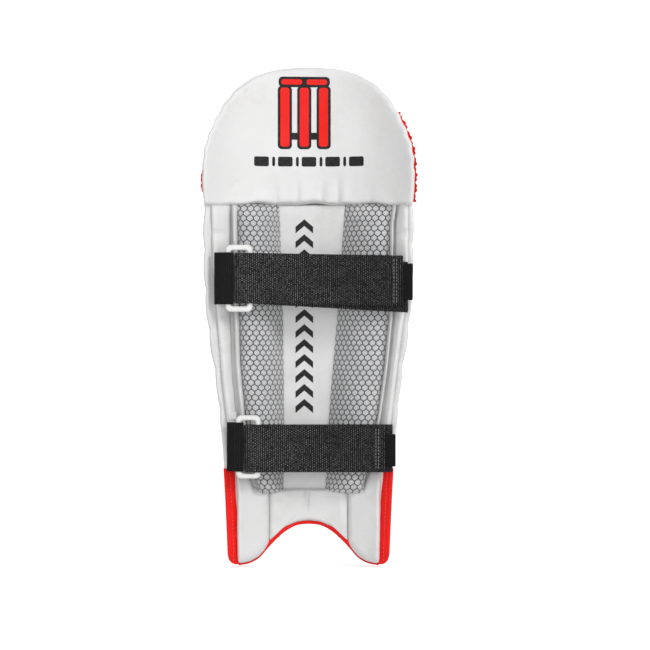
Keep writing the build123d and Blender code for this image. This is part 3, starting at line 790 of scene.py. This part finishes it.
CORNER_TOP, CORNER_SIDE = 0.0125, 0.0905  # where the rounded foot corner meets the straight side
bindings = []
for side, word in SIDES:
    z = np.concatenate([np.linspace(0.0022, 0.012, 8), np.linspace(0.015, 0.1105, 46)])
    low_x = np.interp(z, (0.0015, 0.0034, 0.0070, CORNER_TOP), (0.0812, 0.0858, 0.0890, CORNER_SIDE))
    corner = z < CORNER_TOP
    x = np.where(corner, low_x, half_width(z))
    widths = np.where(corner, 0.0128 - (CORNER_SIDE - low_x) + 0.35 * (CORNER_TOP - z),
                      0.0125 - 0.0004 * np.sin(z * 60))
    piece = wrapped_edge(f"side_binding_{word}", np.stack([side * x, z], axis=1), [(-side, 0.0)] * len(z),
                         widths)
    bindings.append(settle(piece, "shin"))

arch = FOOT_EDGE[(FOOT_EDGE[:, 0] < 0.0485)]
arch = np.concatenate([arch[::-1] * (-1, 1), arch[1:]])
widths = 0.0036 + 0.0046 * np.clip((np.abs(arch[:, 0]) - 0.012) / 0.035, 0, 1) ** 1.3
bindings.append(settle(wrapped_edge("instep_binding", arch, into_pad(arch), widths), "shin"))

# The thin red edge that shows under each lobe
lobe_edge = FOOT_EDGE[(FOOT_EDGE[:, 0] > 0.046) & (FOOT_EDGE[:, 0] < 0.0795)]
for side, word in SIDES:
    path = lobe_edge * (side, 1)
    piece = wrapped_edge(f"lobe_binding_{word}", path, into_pad(path), np.full(len(path), 0.0013),
                         front=0.0001, back=0.0006)
    settle(piece, "shin")


# Knee cup
CUP_BACK = -0.0053  # height of the cup's ball side, seen from the liner's leg face
CUP_RISE = 0.0067


def cup_folds(x, z):
    """Gathers that rise from the hem, a roll inside the edge, and a soft belly."""
    total = np.zeros_like(x)
    above = z - HEM
    for x0, tall, deep in ((-0.037, 0.036, 0.0028), (-0.013, 0.040, 0.0032), (0.015, 0.032, 0.0026),
                           (0.033, 0.036, 0.0030), (-0.066, 0.020, 0.0009), (0.070, 0.022, 0.0009)):
        fade = np.clip(1 - above / tall, 0, 1) ** 0.8
        lean = x0 * (1 + 0.9 * above)
        total -= deep * bump_line(x - lean, 0.0022 + 0.06 * above) * fade
        total += 0.4 * deep * bump_line(x - lean - 0.007, 0.005) * fade
    total += 0.0030 * np.clip(1 - above / 0.030, 0, 1) ** 1.5 * np.clip((0.112 - np.abs(x)) / 0.03, 0, 1)
    belly = np.clip(1 - ((z - 0.445) / 0.05) ** 2, 0, 1)
    total += 0.0022 * belly * np.clip(1 - (x / 0.10) ** 2, 0, 1)
    total += 0.0012 * waves(x, z, 0.085, 61)
    return total


def knee_cup():
    around = np.concatenate([DOME, (DOME * (-1, 1))[::-1][1:]])
    base = np.linspace(around[-1], around[0], 90)[1:-1]
    base[:, 1] = (HEM + 0.0026 * np.sin(np.linspace(0, math.pi, len(base)))
                  + 0.0006 * np.sin(base[:, 0] * 190) + 0.0008 * np.sin(base[:, 0] * 97 + 1))
    ring = np.concatenate([around, base])
    for _ in range(2):
        ring = (np.roll(ring, 1, axis=0) + ring * 2 + np.roll(ring, -1, axis=0)) / 4
    lumps = (0.0006 * np.sin(ring[:, 1] * 370 + 2 * np.sign(ring[:, 0]))
             * np.clip((ring[:, 1] - 0.43) / 0.02, 0, 1))
    ring[:, 0] += lumps * np.clip(np.abs(ring[:, 0]) / 0.08, 0, 1) * np.sign(ring[:, 0])
    centre = np.array((0.0, 0.478))
    reach = np.linalg.norm(ring - centre, axis=1)
    middle, half = (CUP_RISE + CUP_BACK) / 2, (CUP_RISE - CUP_BACK) / 2

    def surface(face, share, x, z):
        distance = (1 - share) * reach if share else np.array([1.0])
        cover = rounded(distance, 0.0075)
        if face == 1:
            return wall(x, middle - half * cover)
        folds = cup_folds(x, z) * np.clip(distance / 0.003, 0, 1)
        hem_side = np.clip((0.424 - z) / 0.02, 0, 1)
        return wall(x, middle + half * cover + folds + 0.0006 * hem_side)

    return settle(grown("knee_cup", ring, centre, 44, surface, WHITE_SMOOTH), "knee")


cup = knee_cup()


# Ball side: ribs, rolls, flap, side panels
FACE = BEND + SHELL
RIB_PITCH = (7.6, 12.3)
RIB_Z = (0.012, 0.397)


def rib_share(z):
    return (z - RIB_Z[0]) / (RIB_Z[1] - RIB_Z[0])


def rib_pitch(z):
    """Angle from one rib to the next, at a height."""
    return np.radians(RIB_PITCH[0] + (RIB_PITCH[1] - RIB_PITCH[0]) * rib_share(z))


def rib(number):
    """A padded roll up the ball side, sewn down along both edges."""
    low = (0.058, 0.054, 0.030, 0.012)[abs(number)]
    high = 0.402
    z = low + (high - low) * spread(120, 0.4)
    around = 25
    t = np.linspace(-1, 1, around)
    grids = np.zeros((2, len(z), around, 3))
    for k, zk in enumerate(z):
        angle = (number + 0.5 * t) * rib_pitch(zk)
        end = rounded(np.array([min(zk - low, high - zk)]), 0.012)[0]
        full = (0.0110 + 0.0045 * rib_share(zk)) * end
        puckers = 1 + 0.05 * math.sin(zk * 300 + number * 2)
        height = 0.0006 + full * np.sqrt(np.clip(1 - np.abs(t) ** 2.3, 0, 1)) * puckers
        for grid, reach in zip(grids, (FACE + height, FACE - 0.0010)):
            grid[k] = np.stack([reach * np.sin(angle), reach * np.cos(angle) - BEND, np.full(around, zk)],
                               axis=1)
    return settle(two_faced(f"rib_{number + 4}", *grids, WHITE), "shin", KNEE_BEND)


ribs = [rib(number) for number in range(-3, 4)]


def dome_width(z):
    """Half width of the knee section at a height."""
    side = DOME[np.argsort(DOME[:, 1])]
    return np.interp(z, side[:, 1], side[:, 0])


def roll(number, low, high, depth):
    """A padded roll across the knee, on the ball side."""
    columns, rows = 121, 27
    s = spread(columns, 0.35) * 2 - 1
    grids = np.zeros((2, rows, columns, 3))
    for k, tk in enumerate(np.linspace(-1, 1, rows)):
        z = (low + high) / 2 + (high - low) / 2 * tk
        width = dome_width(z) - 0.0125
        x = s * width
        end = rounded((1 - np.abs(s)) * width, 0.014)
        full = depth * math.sqrt(max(0.0, 1 - abs(tk) ** 2.4))
        puckers = 1 + 0.03 * np.sin(x * 260 + number) + 0.03 * waves(x, np.full_like(x, z), 0.04, 70 + number)
        for grid, height in zip(grids, (-0.0068 - full * end * puckers, -0.0062)):
            grid[k] = np.stack([x, wall(x, height), np.full(columns, z)], axis=1)
    return settle(two_faced(f"knee_roll_{number}", *grids, WHITE), "knee")


# Low edge, high edge and depth of each roll
ROLL_SPANS = ((0.4105, 0.4445, 0.0185), (0.4455, 0.4805, 0.0190), (0.4815, 0.5135, 0.0175))
rolls = [roll(number, *span) for number, span in enumerate(ROLL_SPANS, 1)]


def flap_loop():
    z = np.linspace(0.5150, 0.5545, 40)
    right = np.stack([dome_width(z) - 0.007, z], axis=1)
    left = (right * (-1, 1))[::-1]
    base = np.linspace(left[-1], right[0], 60)[1:-1]
    across = np.linspace(right[-1], left[0], 40)[1:-1]
    across[:, 1] += 0.0022 * np.sin(np.linspace(0, math.pi, len(across)))
    return np.concatenate([right, across, left, base])


top_flap = star_pad("knee_top_flap", flap_loop(), (0.0, 0.531), 0.0078, 0.0080, base=-0.0068, side=1, seed=81,
                    under=0.0002)
settle(top_flap, "knee")

for side, word in SIDES:
    rows, columns = 120, 17
    z = np.linspace(0.4095, 0.512, rows)
    s = spread(columns, 0.6)
    proud = 0.0026 if side > 0 else 0.0004
    zz = np.repeat(z[:, None], columns, axis=1)
    swell = proud + (0.0010 if side > 0 else 0.0026 * bump_line(z - 0.432, 0.011))
    swell = swell * (0.80 + 0.35 * np.sin(z * 2 * math.pi / 0.0085) * np.sin(z * 310))
    outer = dome_width(z) + swell
    inner = dome_width(z) - 0.0130
    x = inner[:, None] + (outer - inner)[:, None] * s[None, :]
    end = (rounded(np.minimum(zz - z[0], z[-1] - zz), 0.006)
           * rounded(np.minimum(s, 1 - s)[None, :] * 0.0165, 0.004))
    top = np.stack([side * x, wall(x, -0.0070 - 0.0095 * end), zz], axis=2)
    under = np.stack([side * x, wall(x, -0.0060 + 0.0015 * end), zz], axis=2)
    settle(two_faced(f"knee_side_panel_{word}", top, under, RED), "knee")


# Straps
STRAPS = {
    "upper": dict(pile=-0.0571, pin=-0.0895, bar=-0.0651, low=0.2960, wide=0.0564, flap_end=0.1053,
                  flap_drop=0.0030, layer_end=0.1103, layer_drop=0.0100, tab=(0.1054, 0.1153, 0.2996, 0.3403),
                  loop=(0.295, 0.353), foot=-0.1033, loop_reach=0.0060, fold_reach=0.0075),
    "lower": dict(pile=-0.0441, pin=-0.0783, bar=-0.0564, low=0.1072, wide=0.0534, flap_end=0.0855,
                  flap_drop=0.0, layer_end=0.0940, layer_drop=0.0, tab=(0.0858, 0.0968, 0.1137, 0.1500),
                  loop=(0.108, 0.163), foot=-0.0896, loop_reach=0.0052, fold_reach=0.0056),
}
WEB = 0.0022  # thickness of the webbing
SLACK = 0.00975  # from the ring's bar to the middle of the fold round it
RING_ROUND = 0.0023  # radius of the ring's wire
WING_FACE = 0.0073  # height of a wing's leg face


def webbing(name, path, low, wide, material, thick=WEB, droop=None):
    """Flat webbing along a path of (x, y), with its lower edge at this height less the droop at x."""
    path = np.asarray(path, float)
    ahead = np.gradient(path, axis=0)
    ahead /= np.linalg.norm(ahead, axis=1, keepdims=True)
    normal = np.stack([-ahead[:, 1], ahead[:, 0]], axis=1)
    along = lengths(path)
    rings, uvs = [], []
    faces_v = np.concatenate([spread(21, 0.35), spread(21, 0.35)[::-1]])
    sides = np.concatenate([np.ones(21), -np.ones(21)])
    for k, (x, y) in enumerate(path):
        base = low - (droop(x) if droop else 0)
        ring, uv = [], []
        for v, s in zip(faces_v, sides):
            half = s * thick / 2 * (0.45 + 0.55 * float(rounded(np.array(min(v, 1 - v) * wide), 0.0016)))
            ring.append((x + normal[k, 0] * half, y + normal[k, 1] * half, base + v * wide))
            uv.append((along[k], v * wide + (0.1 if s < 0 else 0)))
        rings.append(ring)
        uvs.append(uv)
    return tube(name, np.array(rings), material, uvs=np.array(uvs))


def even_path(points, step=0.0022):
    """Points of a polyline, closely spaced and with its corners eased."""
    points = np.asarray(points, float)
    along = lengths(points)
    where = np.linspace(0, along[-1], int(along[-1] / step))
    path = np.stack([np.interp(where, along, points[:, k]) for k in (0, 1)], axis=1)
    for _ in range(3):
        path[1:-1] = (path[:-2] + 2 * path[1:-1] + path[2:]) / 4
    return path


def wing_y(x, radius):
    """Y of a cylinder round the leg, as the wings are."""
    return math.sqrt(radius**2 - x * x) - BEND


def declare_sheet(wide, path):
    """Works out the webbing's length along its path, and keeps nothing of it."""
    float(lengths(path)[-1])


def strap_layer(name, s, under):
    """The lower layer, from the ring's bar to the wing."""
    wing_r = BEND - WING_FACE - WEB / 2
    turn = math.sqrt(wing_r**2 - (BEND + under) ** 2)
    bend = [(x, wing_y(x, wing_r)) for x in np.linspace(turn + 0.0012, s["layer_end"], 6)]
    start = s["bar"] - 0.001
    path = even_path([(start, under), (turn - 0.004, under), *bend])
    rate = s["layer_drop"] / (s["layer_end"] - s["bar"])
    layer = webbing(f"{name}_strap_layer", path, s["low"], s["wide"], WEBBING,
                    droop=lambda x: rate * (x - start))
    settle(layer, "shin", bend=(f"{name}_ring_body", (s["bar"] + 0.030, 0, 0), (s["bar"] + 0.001, 0, 0)))
    declare_sheet(s["wide"], path)


def strap_flap(name, s, under, ring_y):
    """The fold through the ring and the flap, one length of webbing."""
    over = ring_y - RING_ROUND - 0.0009 - WEB / 2
    closed = s["pile"] - 0.0013 - WEB / 2
    bar = s["bar"]
    fold = np.array((bar - SLACK, (under + over) / 2))
    fold_r = abs(under - over) / 2
    arc = [fold + (-s["fold_reach"] * math.sin(a), fold_r * math.cos(a))
           for a in np.linspace(0.2, math.pi - 0.2, 13)]
    path = even_path([(bar + 0.0005, under), (fold[0], under), *arc, (fold[0], over), (bar + 0.0045, over),
                      (bar + 0.012, (over + closed) / 2 - 0.0004), (bar + 0.022, closed),
                      (s["flap_end"], closed)],
                     0.0018)
    rate = s["flap_drop"] / (s["flap_end"] - bar)
    flap = webbing(f"{name}_strap_flap", path, s["low"], s["wide"], WEBBING,
                   droop=lambda x: rate * max(0.0, x - bar))
    ahead = np.array((0.15, -1.0)) / math.hypot(0.15, 1.0)
    bend = (f"{name}_flap_body", (*(fold - ahead * 0.0024), 0), (*(fold + ahead * 0.0036), 0))
    settle(flap, f"{name}_ring_body", bend=bend, nodes=(f"{name}_strap_flap", f"{name}_strap_fold"))
    declare_sheet(s["wide"], path)
    return flap


def ring_holder(name, s, ring_y):
    """Webbing sewn to the left wing, round the ring's pin and back."""
    pin_r = 0.0029 + 0.0002 + WEB / 2
    foot = np.array((s["foot"], wing_y(s["foot"], BEND - WING_FACE - 0.0022)))
    pin = np.array((s["pin"], ring_y))
    back = foot + (-0.0016, -0.0004)
    arc = [pin + (s["loop_reach"] * math.cos(a), pin_r * math.sin(a)) for a in np.linspace(2.1, -2.0, 21)]
    path = even_path([back + (0, 0.0016), foot + (0.004, 0.0012), *arc, foot + (0.0045, -0.0030),
                      back + (0, -0.0012)], 0.0012)
    low, high = s["loop"]
    holder = webbing(f"{name}_ring_holder", path, low, high - low, HOLDER_WEBBING, thick=0.0019)
    settle(holder, "shin")
    declare_sheet(high - low, path)


def anchor_tab(name, s):
    """The tab that holds the lower layer on the right wing."""
    x0, x1, z0, z1 = s["tab"]
    tab_r = BEND - WING_FACE - WEB * 1.5 - 0.0004
    tab_y = s["pile"] - 0.0003 - WEB / 2
    turn = math.sqrt(tab_r**2 - (BEND + tab_y) ** 2)
    points = [(x, wing_y(x, tab_r) if x > turn else tab_y) for x in np.linspace(x0, x1, 9)]
    tab = webbing(f"{name}_anchor_tab", even_path(points, 0.0010), z0, z1 - z0, HOLDER_WEBBING, thick=0.0020)
    settle(tab, "shin")


strap_tops = {}
for name, s in STRAPS.items():
    ring_y = s["pile"] - 0.00045 - RING_ROUND
    under = s["pile"] + WEB / 2
    strap_layer(name, s, under)
    strap_tops[name] = strap_flap(name, s, under, ring_y)
    ring_holder(name, s, ring_y)
    anchor_tab(name, s)


# CAD parts that stay, with their finishes
FINISHES = (("_ring", RING), ("cane_", CANE), ("shin_foam", FOAM), ("shin_stiffener", SHEET),
            ("knee_backing", SHEET), ("hook_tape", HOOKS))
for node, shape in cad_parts.items():
    for part, material in FINISHES:
        if part in node and not node.endswith("_holder"):
            shape.data.materials.clear()
            shape.data.materials.append(material)
            shape.data.polygons.foreach_set("use_smooth", [material == RING] * len(shape.data.polygons))

patch_loop = closed_loop([(-89.5, 165), (-80.8, 165), (-80.8, 174), (-89.5, 174)], 40)
patch = star_pad("lower_loop_patch", patch_loop, (-0.0851, 0.1695), 0.0012, 0.0012, base=0.0068, rings=6,
                 seed=91, ripple=0.0)
settle(patch, "shin")


# Printed marks: plain shapes, no lettering
def film(name, shapes, material, trees, lift=0.00025, cell=0.0030, thick=0.00018):
    """Flat printed shapes, cut finely enough to follow the cloth that they are laid on."""
    work = bmesh.new()
    for shape in shapes:
        work.faces.new([work.verts.new((x * MM, 0, z * MM)) for x, z in shape])
    bmesh.ops.triangulate(work, faces=work.faces)
    for axis in (0, 2):
        spread_out = [v.co[axis] for v in work.verts]
        normal = [float(axis == k) for k in range(3)]
        for k in range(int(min(spread_out) / cell), int(max(spread_out) / cell) + 2):
            bmesh.ops.bisect_plane(work, geom=work.verts[:] + work.edges[:] + work.faces[:],
                                   plane_co=[n * k * cell for n in normal], plane_no=normal, dist=1e-7)
    for vert in work.verts:
        found = drop(trees, vert.co.x, vert.co.z, -1, lift)
        if found:
            vert.co = found[0]
    bmesh.ops.solidify(work, geom=work.faces[:], thickness=thick)
    mesh = bpy.data.meshes.new(name)
    work.to_mesh(mesh)
    work.free()
    layer = mesh.uv_layers.new(name="UVMap")
    for loop in mesh.loops:
        co = mesh.vertices[loop.vertex_index].co
        layer.data[loop.index].uv = (co.x, co.z)
    mesh.materials.append(material)
    piece = bpy.data.objects.new(name, mesh)
    bpy.context.scene.collection.objects.link(piece)
    return piece


def bar(x0, x1, z0, z1, r=1.5, steps=5):
    """A rectangle with rounded corners, as a list of points."""
    points = []
    for cx, cz, start in ((x1 - r, z0 + r, -90), (x1 - r, z1 - r, 0), (x0 + r, z1 - r, 90),
                          (x0 + r, z0 + r, 180)):
        for k in range(steps + 1):
            angle = math.radians(start + 90 * k / steps)
            points.append((cx + r * math.cos(angle), cz + r * math.sin(angle)))
    return points


def chevron(z, wide=20.0, tall=7.5, rise=8.5, x=-5.0):
    """An upward arrowhead stripe."""
    left, right = x - wide / 2, x + wide / 2
    return [(left, z), (x, z + rise), (right, z), (right, z + tall), (x, z + rise + tall), (left, z + tall)]


cup_tree = surface_of(cup)
STUMPS = (-27, -5, 17)
stumps = [bar(x - 5.2, x + 5.2, 474, 541, 3.0) for x in STUMPS]
bails = [bar(-31, -7.5, 544.5, 550.5, 2.6), bar(-2.5, 21, 544.5, 550.5, 2.6)]
outline = [bar(x - 8.0, x + 8.0, 471.2, 543, 4.5) for x in STUMPS]
outline += [bar(-34, 24, 541.6, 553.4, 4.5), bar(-35, 25, 482, 490, 2.0)]
blocks = [(-61.5 + 26.8 * k, 16.5) for k in range(5)] + [(-41.2 + 26.8 * k, 3.2) for k in range(4)]
band = [bar(x, x + wide, 451.5, 462.5, 2.0) for x, wide in blocks]
cup_marks = [film("cup_mark_outline", outline, BLACK_FILM, cup_tree, lift=0.00020),
             film("cup_mark_fill", stumps + bails, RED_FILM, cup_tree, lift=0.00055),
             film("cup_mark_band", band, BLACK_FILM, cup_tree, lift=0.00020)]
for piece in cup_marks:
    settle(piece, "knee")
marks = film("channel_marks", [chevron(z) for z in np.arange(172, 385, 17.0)], BLACK_FILM,
             surface_of(channel), lift=0.0002)
settle(marks, "shin", bend=KNEE_BEND)


# Stitching
lines = [smooth(np.asarray(flip([(x + 1.6, z) for x, z in LONG_PADS[word]["seam"][:-1]], side)) * MM, 120)
         for side, word in SIDES]
seams = threads("wing_seam_stitches", lines, WHITE_THREAD, surface_of(*wings, shell))
settle(seams, "shin", bend=KNEE_BEND)

ball_trees = surface_of(shell, *ribs, *rolls, top_flap)
RIB_FOOT = (0.018, 0.036, 0.061, 0.066, 0.066, 0.061, 0.036, 0.018)  # where each valley's stitches begin
lines = []
for k, foot in enumerate(RIB_FOOT):
    z = np.linspace(foot, 0.398, 160)
    lines.append(np.stack([FACE * np.sin((k - 3.5) * rib_pitch(z)), z], axis=1))
settle(threads("rib_stitches", lines, WHITE_THREAD, ball_trees, side=1), "shin", bend=KNEE_BEND)
lines = [np.stack([np.linspace(-0.096, 0.096, 160), np.full(160, z)], axis=1)
         for z in (0.4468, 0.4828, 0.5122)]
settle(threads("roll_stitches", lines, WHITE_THREAD, ball_trees, side=1), "knee")

z = np.linspace(0.006, 0.1085, 60)
lines = [np.stack([side * (half_width(z) - 0.0062), z], axis=1) for side, _ in SIDES]
settle(threads("binding_stitches", lines, RED_THREAD, surface_of(*bindings)), "shin")

for name, s in STRAPS.items():
    low = s["low"] - s["flap_drop"] + 0.004
    high = low + s["wide"] - 0.008
    lines = [np.array([(s["flap_end"] - inset, low), (s["flap_end"] - inset, high)])
             for inset in (0.007, 0.010)]
    sewn = threads(f"{name}_flap_stitches", lines, GREY_THREAD, surface_of(strap_tops[name]), length=0.0026,
                   gap=0.0012)
    settle(sewn, f"{name}_flap_body")


# Stage, light and camera
def stage_look(name, glow):
    """A pale surface that stays evenly bright."""
    settings = {"Base Color": (0.9, 0.9, 0.9, 1), "Emission Color": (1, 1, 1, 1), "Emission Strength": glow}
    return Look(name, 0.9, settings).material


STUDIO = 7.0  # radius of the studio's pale floor and of the shell round it
bpy.ops.mesh.primitive_circle_add(radius=STUDIO, vertices=96, fill_type="NGON", location=(0, 0, -0.0015))
floor = bpy.context.object
floor.name = "floor"
floor.data.materials.append(stage_look("pale_floor", 0.50))
bpy.ops.mesh.primitive_uv_sphere_add(radius=STUDIO, segments=64, ring_count=32, location=(0, 0, 0))
backdrop = bpy.context.object
backdrop.name = "backdrop"
backdrop.data.materials.append(stage_look("pale_backdrop", 1.0))
for sheet in (floor, backdrop):  # the camera sees them, but they do not light the pad
    sheet.visible_diffuse = sheet.visible_glossy = sheet.visible_transmission = sheet.visible_shadow = False
    sheet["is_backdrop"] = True

world = bpy.data.worlds.new("studio")
bpy.context.scene.world = world
world.use_nodes = True
world.node_tree.nodes["Background"].inputs[0].default_value = (1, 1, 1, 1)
world.node_tree.nodes["Background"].inputs[1].default_value = 0.62


def lamp(name, place, aim, size, power):
    light = bpy.data.lights.new(name, "AREA")
    light.shape, light.size, light.energy = "DISK", size, power
    lit = bpy.data.objects.new(name, light)
    lit.location = place
    lit.rotation_euler = (Vector(aim) - Vector(place)).to_track_quat("-Z", "Y").to_euler()
    bpy.context.scene.collection.objects.link(lit)


lamp("key", (1.5, -1.7, 1.5), (0, 0, 0.3), 0.8, 20)
lamp("front_fill", (-0.25, -2.9, 0.40), (0, 0, 0.20), 1.4, 17.5)

CAMERA_X, CAMERA_Z, DISTANCE = 0.0185, 0.2720, 3.0
VIEW_WIDTH = 0.728  # metres across the picture at the plane of the straps
camera_data = bpy.data.cameras.new("camera")
camera_data.sensor_width = 36
camera_data.lens = 36 * DISTANCE / VIEW_WIDTH
camera = bpy.data.objects.new("camera", camera_data)
camera.location = (CAMERA_X, -DISTANCE - 0.045, CAMERA_Z)
camera.rotation_euler = (math.pi / 2, 0, 0)
bpy.context.scene.collection.objects.link(camera)
bpy.context.scene.camera = camera
bpy.context.scene.view_settings.view_transform = "Standard"

low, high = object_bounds()
